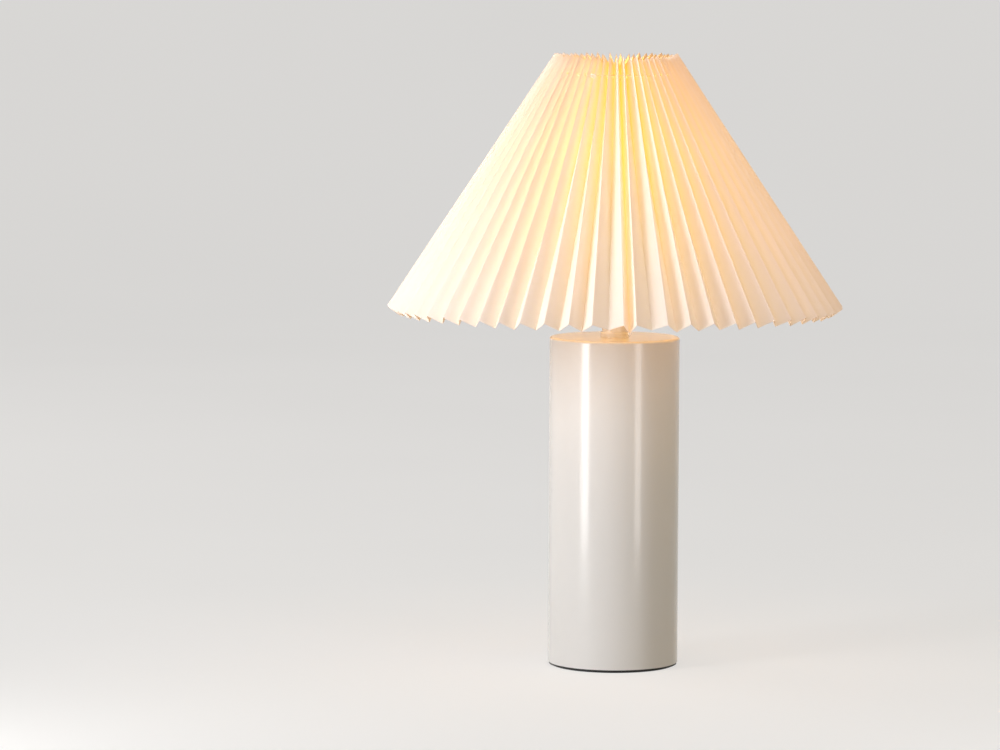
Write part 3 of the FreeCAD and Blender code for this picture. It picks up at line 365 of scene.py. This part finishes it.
def to_range(tree, factor, low, high):
    """Noise mapped to a range. Returns the value's socket."""
    start, end = NOISE_BETWEEN
    mapped = add_node(
        tree, "ShaderNodeMapRange", Value=factor, From_Min=start, From_Max=end, To_Min=low, To_Max=high
    )
    return mapped.outputs["Result"]


def bump(tree, height, strength, distance):
    """A bump from a height. Returns the normal's socket."""
    bumped = add_node(tree, "ShaderNodeBump", Height=height, Strength=strength, Distance=distance)
    return bumped.outputs["Normal"]


# ---------------------------------------------------------------- materials
def new_material(name):
    """A material, its node tree and its shader."""
    material = bpy.data.materials.new(name)
    material.use_nodes = True
    tree = material.node_tree
    return material, tree, tree.nodes["Principled BSDF"]


def surface(name, color, roughness, metallic=0.0, tone=0.06, scale=40.0, grain=400.0,
            grain_depth=0.02 * MM, stretch=(1.0, 1.0, 1.0), coat=0.0):
    """A finish with uneven tone, uneven gloss and a fine grain."""
    material, tree, shader = new_material(name)
    cloud = object_noise(tree, scale)
    gloss = object_noise(tree, scale * GLOSS_SCALE, stretch=stretch)
    fine = object_noise(tree, grain, stretch=stretch)
    roughest = min(roughness + GLOSS_VARIES, 1.0)
    set_inputs(
        tree,
        shader,
        Base_Color=two_tones(tree, cloud, color, darker=1 - tone),
        Roughness=to_range(tree, gloss, roughness - GLOSS_VARIES, roughest),
        Normal=bump(tree, fine, GRAIN_STRENGTH, grain_depth),
        Metallic=metallic,
        Coat_Weight=coat,
        Coat_Roughness=0.05,
    )
    return material


def enamel(name, color):
    """Sprayed gloss enamel: an even colour, a soft sheen and the faintest orange peel."""
    material, tree, shader = new_material(name)
    cloud = object_noise(tree, scale=9.0, detail=2.0)
    gloss = object_noise(tree, scale=30.0)
    peel = object_noise(tree, scale=260.0, detail=1.0)
    set_inputs(
        tree,
        shader,
        Base_Color=two_tones(tree, cloud, color, darker=0.985),
        Roughness=to_range(tree, gloss, *ENAMEL_ROUGHNESS),
        Normal=bump(tree, peel, strength=0.12, distance=0.03 * MM),
        Coat_Weight=0.4,
        Coat_Roughness=0.1,
    )
    return material


def lit_finish(name, color, glow, strength):
    """A lit surface: its own colour plus its light, a little uneven."""
    material, tree, shader = new_material(name)
    cloud = object_noise(tree, scale=60.0)
    set_inputs(
        tree,
        shader,
        Base_Color=two_tones(tree, cloud, color, darker=0.96),
        Emission_Color=two_tones(tree, cloud, glow, darker=0.96),
        Emission_Strength=strength,
        Roughness=0.35,
    )
    return material


def thread_with_painted_glow(name, glow):
    """Undyed cotton with a painted glow that stands in for a little of the bulb's light."""
    material, tree, shader = new_material(name)
    fibres = object_noise(tree, scale=900.0)
    fuzz = object_noise(tree, scale=3000.0)
    set_inputs(
        tree,
        shader,
        Base_Color=two_tones(tree, fibres, THREAD_COLOR, darker=0.85),
        Emission_Color=two_tones(tree, fibres, glow, darker=0.8),
        Emission_Strength=PAINTED_GLOW_STRENGTH,
        Roughness=0.9,
        Normal=bump(tree, fuzz, strength=0.35, distance=0.02 * MM),
    )
    material.cycles.emission_sampling = "NONE"
    return material


def painted_glow_fold_mask(tree, x, y, above_rim):
    """The mask for the painted glow's deeper colour inside the folds: 0 at the outer folds' cone, rising
    smoothly to 1 at the inner folds. Returns the value's socket.
    """
    square = arithmetic(tree, "MULTIPLY_ADD", x, x, arithmetic(tree, "MULTIPLY", y, y))
    ridge_radius = arithmetic(tree, "MULTIPLY_ADD", above_rim, -SLOPE, RIDGE_RIM_RADIUS)
    behind = arithmetic(tree, "SUBTRACT", ridge_radius, arithmetic(tree, "SQRT", square))
    depth = add_node(tree, "ShaderNodeMapRange", Value=behind, From_Max=FOLD_DEPTH)
    depth.interpolation_type = "SMOOTHSTEP"
    return depth.outputs["Result"]


def painted_glow_through(tree, cloud):
    """The painted glow that stands in for the bulb's light through the paper: by height, and deeper in
    colour inside the folds.
    """
    split = add_node(tree, "ShaderNodeSeparateXYZ", Vector=object_place(tree))
    x, y, z = split.outputs
    above_rim = arithmetic(tree, "SUBTRACT", z, RIDGE_RIM_Z)
    share = arithmetic(tree, "MULTIPLY", above_rim, 1 / RISE)
    uneven = arithmetic(tree, "MULTIPLY_ADD", cloud, PAINTED_GLOW_MOTTLE, share)
    mix = tree.nodes.new("ShaderNodeMix")
    mix.data_type = "RGBA"
    set_inputs(
        tree,
        mix,
        Factor=painted_glow_fold_mask(tree, x, y, above_rim),
        A=color_stops(tree, uneven, PAINTED_GLOW_OUTER),
        B=color_stops(tree, uneven, PAINTED_GLOW_INNER),
    )
    return mix.outputs["Result"]


def shade_paper():
    """Matt paper with a cloudy look-through and a painted glow that stands in for its light from inside."""
    material, tree, shader = new_material("shade_paper")
    cloud = object_noise(tree, scale=190.0, detail=5.0)
    grain = object_noise(tree, scale=1500.0, detail=2.0)
    set_inputs(
        tree,
        shader,
        Base_Color=two_tones(tree, cloud, PAPER_COLOR, darker=0.97),
        Roughness=0.86,
        Specular_IOR_Level=0.25,
        Normal=bump(tree, grain, strength=0.3, distance=0.03 * MM),
        # Painted glow: emission stands in for the bulb's light coming through the paper.
        Emission_Color=painted_glow_through(tree, cloud),
        Emission_Strength=PAINTED_GLOW_STRENGTH,
    )
    material.cycles.emission_sampling = "NONE"
    return material


def make_materials():
    """One finish for each of the record's material slots."""
    made = {name: enamel(name, color) for name, color in ENAMELS.items()}
    made.update({name: surface(name, **values) for name, values in SURFACES.items()})
    made.update({name: lit_finish(name, *values) for name, values in LIT_FINISHES.items()})
    made["shade_paper"] = shade_paper()
    made["string_cotton"] = thread_with_painted_glow("string_cotton", PAINTED_THREAD_GLOW)
    return made


def finish_nodes(materials):
    """Gives every node of the frame the finish of its slot."""
    for entry in frame["record"]["subparts"]:
        paint(frame["nodes"][entry["node"]], materials[entry["material_slot"]])


# ---------------------------------------------------------------- the folded sheet
# The folds are numbered round the sheet, ridges even and inner folds odd, and a panel by its first fold.
def inner_fold_end(ridge_radius, ridge_z, half_angle):
    """(radius, height) of an inner fold's end: a panel's width from the ridge's end, square to the ridge."""
    stretch = 1 + SLOPE**2
    c, s = math.cos(math.radians(half_angle)), math.sin(math.radians(half_angle))
    # stretch * (radius * c - ridge_radius)**2 + (radius * s)**2 = PANEL_WIDTH**2, for the smaller radius
    a = stretch * c * c + s * s
    b = stretch * ridge_radius * c
    inside = b * b - a * (stretch * ridge_radius**2 - PANEL_WIDTH**2)
    radius = (b - math.sqrt(inside)) / a
    return radius, ridge_z + (radius * c - ridge_radius) * SLOPE


def ridge_azimuths(rng, pinch, jitter):
    """The ridges' compass angles at one edge, closer together at the seam, and the first one again."""
    ridges = [PLEAT_PHASE + k * PLEAT_STEP + rng.uniform(-jitter, jitter) for k in range(PLEATS)]
    ridges[0] = PLEAT_PHASE + pinch
    ridges[1] = PLEAT_PHASE + PLEAT_STEP - pinch
    return ridges + [ridges[0] + 360.0]


def fold_ends(rng, edge, here, there):
    """The ends of a ridge and of the next inner fold at one edge, between two ridges' compass angles."""
    radius, z, jitter, lifts = edge
    inner_radius, inner_z = inner_fold_end(radius, z, (there - here) / 2)
    lift = rng.uniform(*lifts)
    middle = (here + there) / 2 + rng.uniform(-jitter, jitter) * INNER_JITTER
    return polar(radius - RIDGE_INSET, here, z + lift), polar(inner_radius, middle, inner_z + lift)


def fold_lines():
    """The (rim, top) ends of every fold."""
    rng = random.Random(SEED)
    rim = ridge_azimuths(rng, SEAM_PINCH, RIM_JITTER)
    top = ridge_azimuths(rng, 0.0, TOP_JITTER)
    rim_edge = (RIDGE_RIM_RADIUS, RIDGE_RIM_Z, RIM_JITTER, RIM_LIFT)
    top_edge = (RIDGE_TOP_RADIUS, RIDGE_TOP_Z, TOP_JITTER, TOP_LIFT)
    lines = []
    for k in range(PLEATS):
        rim_ends = fold_ends(rng, rim_edge, rim[k], rim[k + 1])
        top_ends = fold_ends(rng, top_edge, top[k], top[k + 1])
        lines += zip(rim_ends, top_ends)
    return lines


def hole_place():
    """(distance from the ridge, distance down from the top edge) of a string hole on its panel."""
    across = STRING_BEHIND_RIDGES * math.cos(SLANT_ANGLE)
    down = (RIDGE_TOP_Z - STRING_Z - across * math.sin(SLANT_ANGLE)) / math.cos(SLANT_ANGLE)
    return across, down


def notch_span():
    """Where a notch starts and ends, as distances down from the top edge."""
    drop = PANEL_WIDTH * math.sin(SLANT_ANGLE)  # from a ridge's end to an inner fold's
    middle = (RIDGE_TOP_Z - RING_Z - drop) / math.cos(SLANT_ANGLE)
    return middle - NOTCH_HEIGHT / 2, middle + NOTCH_HEIGHT / 2


def panel_columns():
    """Where a panel's columns lie, as distances from its ridge."""
    hole, _ = hole_place()
    return [
        0.0,
        FOLD_ROUND,
        hole - HOLE_RADIUS,
        hole,
        hole + HOLE_RADIUS,
        *(PANEL_WIDTH * share for share in MIDDLE_COLUMNS),
        PANEL_WIDTH - NOTCH_DEPTH,
        PANEL_WIDTH - FOLD_ROUND,
        PANEL_WIDTH,
    ]


def panel_rows():
    """Where a panel's rows lie, as distances down from the top edge."""
    _, hole = hole_place()
    special = [hole - HOLE_RADIUS, hole, hole + HOLE_RADIUS, *notch_span()]
    even = [SLANT * k / ROWS for k in range(ROWS + 1)]
    clear = [t for t in even if all(abs(t - s) > ROW_CLEARANCE for s in special) or t in (0.0, SLANT)]
    return sorted(clear + special)


def panel_cells(columns, rows):
    """The corners of a panel's faces, as (column, row), less the string's hole and the ring's notch."""
    across, down = hole_place()
    hole_column, hole_row = columns.index(across), rows.index(down)
    notch_column, notch_row = columns.index(PANEL_WIDTH - NOTCH_DEPTH), rows.index(notch_span()[0])
    cells = []
    for row in range(len(rows) - 1):
        for column in range(len(columns) - 1):
            in_hole = column in (hole_column - 1, hole_column) and row in (hole_row - 1, hole_row)
            in_notch = column >= notch_column and row == notch_row
            if not (in_hole or in_notch):
                cells.append(((column, row), (column + 1, row), (column + 1, row + 1), (column, row + 1)))
    return cells


def panel_folds(panel):
    """The numbers of the ridge and of the inner fold that a panel lies between."""
    after = (panel + 1) % (2 * PLEATS)
    return (after, panel) if panel % 2 else (panel, after)


def point_key(panel, column, row, last_column):
    """What names a point of the sheet: two panels share the points on the fold between them."""
    ridge, inner = panel_folds(panel)
    if column == 0:
        return "fold", ridge, row
    if column == last_column:
        return "fold", inner, row
    return panel, column, row


def off_flat(panel, s, t, bow):
    """How far a panel's point lies off the flat: a shallow bow across the panel and a slow ripple."""
    wave = math.sin(math.pi * min(1.0, t * BOW_RATE + BOW_START))
    bulge = bow * (BOW_LEAST + (1 - BOW_LEAST) * wave)
    ripple = noise.noise(Vector(place * rate for place, rate in zip((panel, t, s), RIPPLE_RATES)))
    return (bulge + ripple * RIPPLE) * math.sin(math.pi * s)


def panel_point(lines, panel, s, t, bow):
    """A panel's point at a share s of its width from the ridge and t of its length from the top edge."""
    ridge_line, inner_line = (lines[fold] for fold in panel_folds(panel))
    ridge = ridge_line[1].lerp(ridge_line[0], t)
    inner = inner_line[1].lerp(inner_line[0], t)
    along = (ridge_line[0] - ridge_line[1]).normalized()
    across = (inner - ridge).normalized()
    normal = along.cross(across).normalized()
    point = ridge.lerp(inner, s) + normal * off_flat(panel, s, t, bow)
    if s == 0.0:
        point += across * FOLD_SHORT
    if s == 1.0:
        point -= across * FOLD_SHORT
    return point


def folded_sheet():
    """The whole pleated sheet as a single skin: its points, each made once, and its faces."""
    rng = random.Random(SEED + 1)
    lines = fold_lines()
    columns, rows = panel_columns(), panel_rows()
    cells = panel_cells(columns, rows)
    across = [column / PANEL_WIDTH for column in columns]
    down = [row / SLANT for row in rows]
    points, faces, index = [], [], {}
    for panel in range(len(lines)):
        bow = rng.uniform(-BOW, BOW)
        for cell in cells:
            face = []
            for column, row in cell:
                key = point_key(panel, column, row, len(columns) - 1)
                if key not in index:
                    index[key] = len(points)
                    points.append(panel_point(lines, panel, across[column], down[row], bow))
                face.append(index[key])
            faces.append(face if panel % 2 else face[::-1])
    return points, faces


def pleated_shade(material):
    """The paper shade: the folded skin given its thickness."""
    points, faces = folded_sheet()
    piece = mesh_piece("paper_shade", points, faces, CREASE_ANGLE)
    thick = piece.modifiers.new("thickness", "SOLIDIFY")
    thick.thickness = PAPER_THICKNESS
    thick.offset = 0.0
    mesh = finished_mesh(piece)
    piece.modifiers.clear()
    piece.data = mesh
    mesh.set_sharp_from_angle(angle=math.radians(CREASE_ANGLE))
    paint(piece, material)
    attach(piece, "shade")
    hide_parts("pleated_shade")


def seam_bead(material):
    """The small curl of paper and glue in which the seam ends at the rim."""
    azimuth = PLEAT_PHASE + PLEAT_STEP / 2
    radius, z = inner_fold_end(RIDGE_RIM_RADIUS, RIDGE_RIM_Z, PLEAT_STEP / 2 - SEAM_PINCH)
    turn = Matrix.Rotation(math.radians(azimuth), 3, "Z") @ Matrix.Rotation(-SLANT_ANGLE, 3, "X")
    ball = bmesh.new()
    bmesh.ops.create_icosphere(ball, subdivisions=BEAD_FINENESS, radius=1.0)
    for vert in ball.verts:
        dent = 1.0 + BEAD_DENT * noise.noise(vert.co * BEAD_DENT_SCALE + Vector(BEAD_DENT_PLACE))
        vert.co = turn @ Vector(c * size * dent for c, size in zip(vert.co, SEAM_BEAD))
        vert.co += polar(radius, azimuth, z)
    mesh = bpy.data.meshes.new("seam_bead")
    ball.to_mesh(mesh)
    ball.free()
    mesh.shade_smooth()
    piece = add_piece("seam_bead", mesh)
    paint(piece, material)
    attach(piece, "shade")


# ---------------------------------------------------------------- the drawstring
def thread_piece(name, paths, radius):
    """A piece of round thread along several paths, each (points, closed)."""
    curve = bpy.data.curves.new(name, "CURVE")
    curve.dimensions = "3D"
    curve.bevel_depth = radius
    curve.bevel_resolution = THREAD_FINENESS
    curve.use_fill_caps = True
    for points, closed in paths:
        spline = curve.splines.new("POLY")
        spline.points.add(len(points) - 1)
        spline.use_cyclic_u = closed
        for target, point in zip(spline.points, points):
            target.co = (*point, 1.0)
    source = add_piece(name + "_path", curve)
    mesh = finished_mesh(source)
    bpy.data.objects.remove(source)
    mesh.name = name
    mesh.shade_smooth()
    return add_piece(name, mesh)


def string_radius():
    """The thread's ring: a fixed depth behind the ridges at its height."""
    return RIDGE_TOP_RADIUS + (RIDGE_TOP_Z - STRING_Z) * SLOPE - STRING_BEHIND_RIDGES


def twisted_ply(start):
    """One ply of the thread all the way round, from a starting angle of its twist, in radians."""
    points = []
    count = TWISTS * STEPS_PER_TWIST
    for k in range(count):
        twist = start + 2 * math.pi * k / STEPS_PER_TWIST
        radius = string_radius() + PLY_FROM_MIDDLE * math.cos(twist)
        points.append(polar(radius, 360.0 * k / count, STRING_Z + PLY_FROM_MIDDLE * math.sin(twist)))
    return points


def knot_axes():
    """The knot's middle and its sideways, outward and upward directions."""
    middle = polar(string_radius() + KNOT_OUTSIDE, KNOT_AZIMUTH, STRING_Z)
    outward = polar(1.0, KNOT_AZIMUTH, 0.0)
    upward = Vector((0.0, 0.0, 1.0))
    return middle, upward.cross(outward), outward, upward


def knot_path():
    """A thread drawn tight round itself, in turns that wind through each other."""
    middle, sideways, outward, upward = knot_axes()
    points = []
    for k in range(KNOT_STEPS):
        t = 2 * math.pi * k / KNOT_STEPS
        turn, wind = KNOT_TURNS * t, KNOT_WINDS * t
        reach = (KNOT_OPENING + math.cos(wind)) * KNOT_SIZE
        place = sideways * reach * math.cos(turn) + upward * reach * math.sin(turn)
        points.append(middle + place + outward * KNOT_SIZE * math.sin(wind))
    return points


def smooth_between(before, start, end, after, t):
    """A point at a share t of the way from start to end, on a smooth curve through all four points."""
    return 0.5 * (
        2 * start
        + (end - before) * t
        + (2 * before - 5 * start + 4 * end - after) * t**2
        + (3 * start - before - 3 * end + after) * t**3
    )


def loop_path():
    """The short loop that hangs out of the knot, smoothed through its points."""
    middle, sideways, outward, upward = knot_axes()
    corners = [middle + sideways * a + outward * b + upward * c for a, b, c in LOOP]
    points = []
    for k in range(len(corners) - 1):
        before, start, end = corners[max(k - 1, 0)], corners[k], corners[k + 1]
        after = corners[min(k + 2, len(corners) - 1)]
        for step in range(LOOP_STEPS):
            points.append(smooth_between(before, start, end, after, step / LOOP_STEPS))
    points.append(corners[-1])
    return points


def drawstring(material):
    """The thread that gathers the pleats, with its knot and loop."""
    plies = [(twisted_ply(0.0), True), (twisted_ply(math.pi), True)]
    ring = thread_piece("gathering_thread", plies, PLY_RADIUS)
    paint(ring, material)
    knot = thread_piece("thread_knot", [(knot_path(), True), (loop_path(), False)], KNOT_THREAD_RADIUS)
    # The knot takes its own painted glow, which paints it lighter than the thread between the pleats.
    paint(knot, thread_with_painted_glow("knot_cotton_painted_glow", PAINTED_KNOT_GLOW))
    for piece in (ring, knot):
        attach(piece, "shade")
        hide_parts("drawstring")


# ---------------------------------------------------------------- stage, lights and camera
def seen_directly(tree):
    """1 where the camera sees a surface, itself or in glass or metal, and 0 for the light it sheds."""
    rays = tree.nodes.new("ShaderNodeLightPath").outputs
    seen = arithmetic(tree, "ADD", rays["Is Camera Ray"], rays["Is Glossy Ray"], clamp=True)
    return arithmetic(tree, "ADD", seen, rays["Is Transmission Ray"], clamp=True)


def floor_finish():
    """The floor's finish: it takes shadows, sheds little light on the lamp and looks pale."""
    material, tree, shader = new_material("floor")
    cloud = object_noise(tree, scale=1.5, detail=2.0)
    set_inputs(
        tree,
        shader,
        Base_Color=two_tones(tree, cloud, FLOOR_COLOR, darker=0.985),
        Emission_Color=two_tones(tree, cloud, FLOOR_SEEN_COLOR, darker=0.99),
        Emission_Strength=arithmetic(tree, "MULTIPLY", seen_directly(tree), FLOOR_SEEN_STRENGTH),
        Roughness=0.9,
        Specular_IOR_Level=0.1,
    )
    return material


def floor_profile():
    """The floor from the side, as (y, z): flat, then bent up to an upright backdrop."""
    profile = [(FLOOR_FRONT, 0.0)]
    for k in range(BEND_STEPS + 1):
        a = math.pi / 2 * k / BEND_STEPS
        y = FLOOR_BACK - BEND_RADIUS + BEND_RADIUS * math.sin(a)
        profile.append((y, BEND_RADIUS - BEND_RADIUS * math.cos(a)))
    profile.append((FLOOR_BACK, BACKDROP_HEIGHT))
    return profile


def add_floor():
    """A pale floor that curves up into a backdrop far behind."""
    profile = floor_profile()
    half = FLOOR_WIDTH / 2
    points = [(x, y, z - FLOOR_BELOW) for y, z in profile for x in (-half, half)]
    faces = [(2 * k, 2 * k + 1, 2 * k + 3, 2 * k + 2) for k in range(len(profile) - 1)]
    floor = mesh_piece("floor", points, faces, SMOOTH_ANGLE)
    paint(floor, floor_finish())


def add_lamp(data, place):
    """A lamp at a place, out of the camera's sight."""
    lamp = bpy.data.objects.new(data.name, data)
    lamp.location = place
    lamp.visible_camera = False
    bpy.context.scene.collection.objects.link(lamp)
    return lamp


def area_light(name, place, target, size, power, color):
    """A rectangular lamp at a place, turned towards a target."""
    data = bpy.data.lights.new(name, "AREA")
    data.shape = "RECTANGLE"
    data.size, data.size_y = size
    data.energy = power
    data.color = color
    lamp = add_lamp(data, place)
    lamp.rotation_euler = (target - place).to_track_quat("-Z", "Y").to_euler()


def bulb_light():
    """The light that leaves the bulb's dome, from a ball just outside it."""
    low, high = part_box("bulb_diffuser")
    radius = (high.x - low.x) / 2
    data = bpy.data.lights.new("bulb_light", "POINT")
    data.shadow_soft_size = radius + BULB_CLEARANCE
    data.energy = BULB_POWER
    data.color = BULB_COLOR
    lamp = add_lamp(data, (0.0, 0.0, high.z - radius))
    lamp.parent = frame["bodies"]["bulb_dome"]


def add_lights():
    """The lamps round the object and the light of its bulb."""
    target = Vector((0.0, 0.0, LAMPS_AIM))
    for name, azimuth, distance, z, size, power, color in LAMPS:
        area_light(name, polar(distance, azimuth, z), target, size, power, color)
    bulb_light()


def add_world():
    """A faint, even light from all round."""
    world = bpy.data.worlds.new("studio")
    world.use_nodes = True
    back = world.node_tree.nodes["Background"]
    set_inputs(world.node_tree, back, Color=(*WORLD_COLOR, 1.0), Strength=WORLD_STRENGTH)
    bpy.context.scene.world = world


def camera_axes():
    """The camera's right, up and backward directions."""
    forward = Vector((
        math.sin(CAMERA_YAW) * math.cos(CAMERA_PITCH),
        math.cos(CAMERA_YAW) * math.cos(CAMERA_PITCH),
        -math.sin(CAMERA_PITCH),
    ))
    right = Vector((math.cos(CAMERA_YAW), -math.sin(CAMERA_YAW), 0.0))
    up = right.cross(forward)
    c, s = math.cos(CAMERA_ROLL), math.sin(CAMERA_ROLL)
    return right * c + up * s, up * c - right * s, -forward


def add_camera():
    """The photograph's view: from the front and a little above."""
    data = bpy.data.cameras.new("camera")
    data.sensor_width = SENSOR_WIDTH
    data.lens = FOCAL_PIXELS * SENSOR_WIDTH / FRAME_WIDTH
    camera = bpy.data.objects.new("camera", data)
    turn = Matrix(camera_axes()).transposed().to_4x4()
    camera.matrix_world = Matrix.Translation((0.0, -CAMERA_DISTANCE, CAMERA_HEIGHT)) @ turn
    bpy.context.scene.collection.objects.link(camera)
    bpy.context.scene.camera = camera


def main():
    """Dresses the frame's nodes, adds the pieces modelled here and sets the stage."""
    add_camera()
    bpy.context.scene.view_settings.view_transform = "Standard"
    materials = make_materials()
    finish_nodes(materials)
    pleated_shade(materials["shade_paper"])
    seam_bead(materials["shade_paper"])
    drawstring(materials["string_cotton"])
    add_floor()
    add_lights()
    add_world()


main()
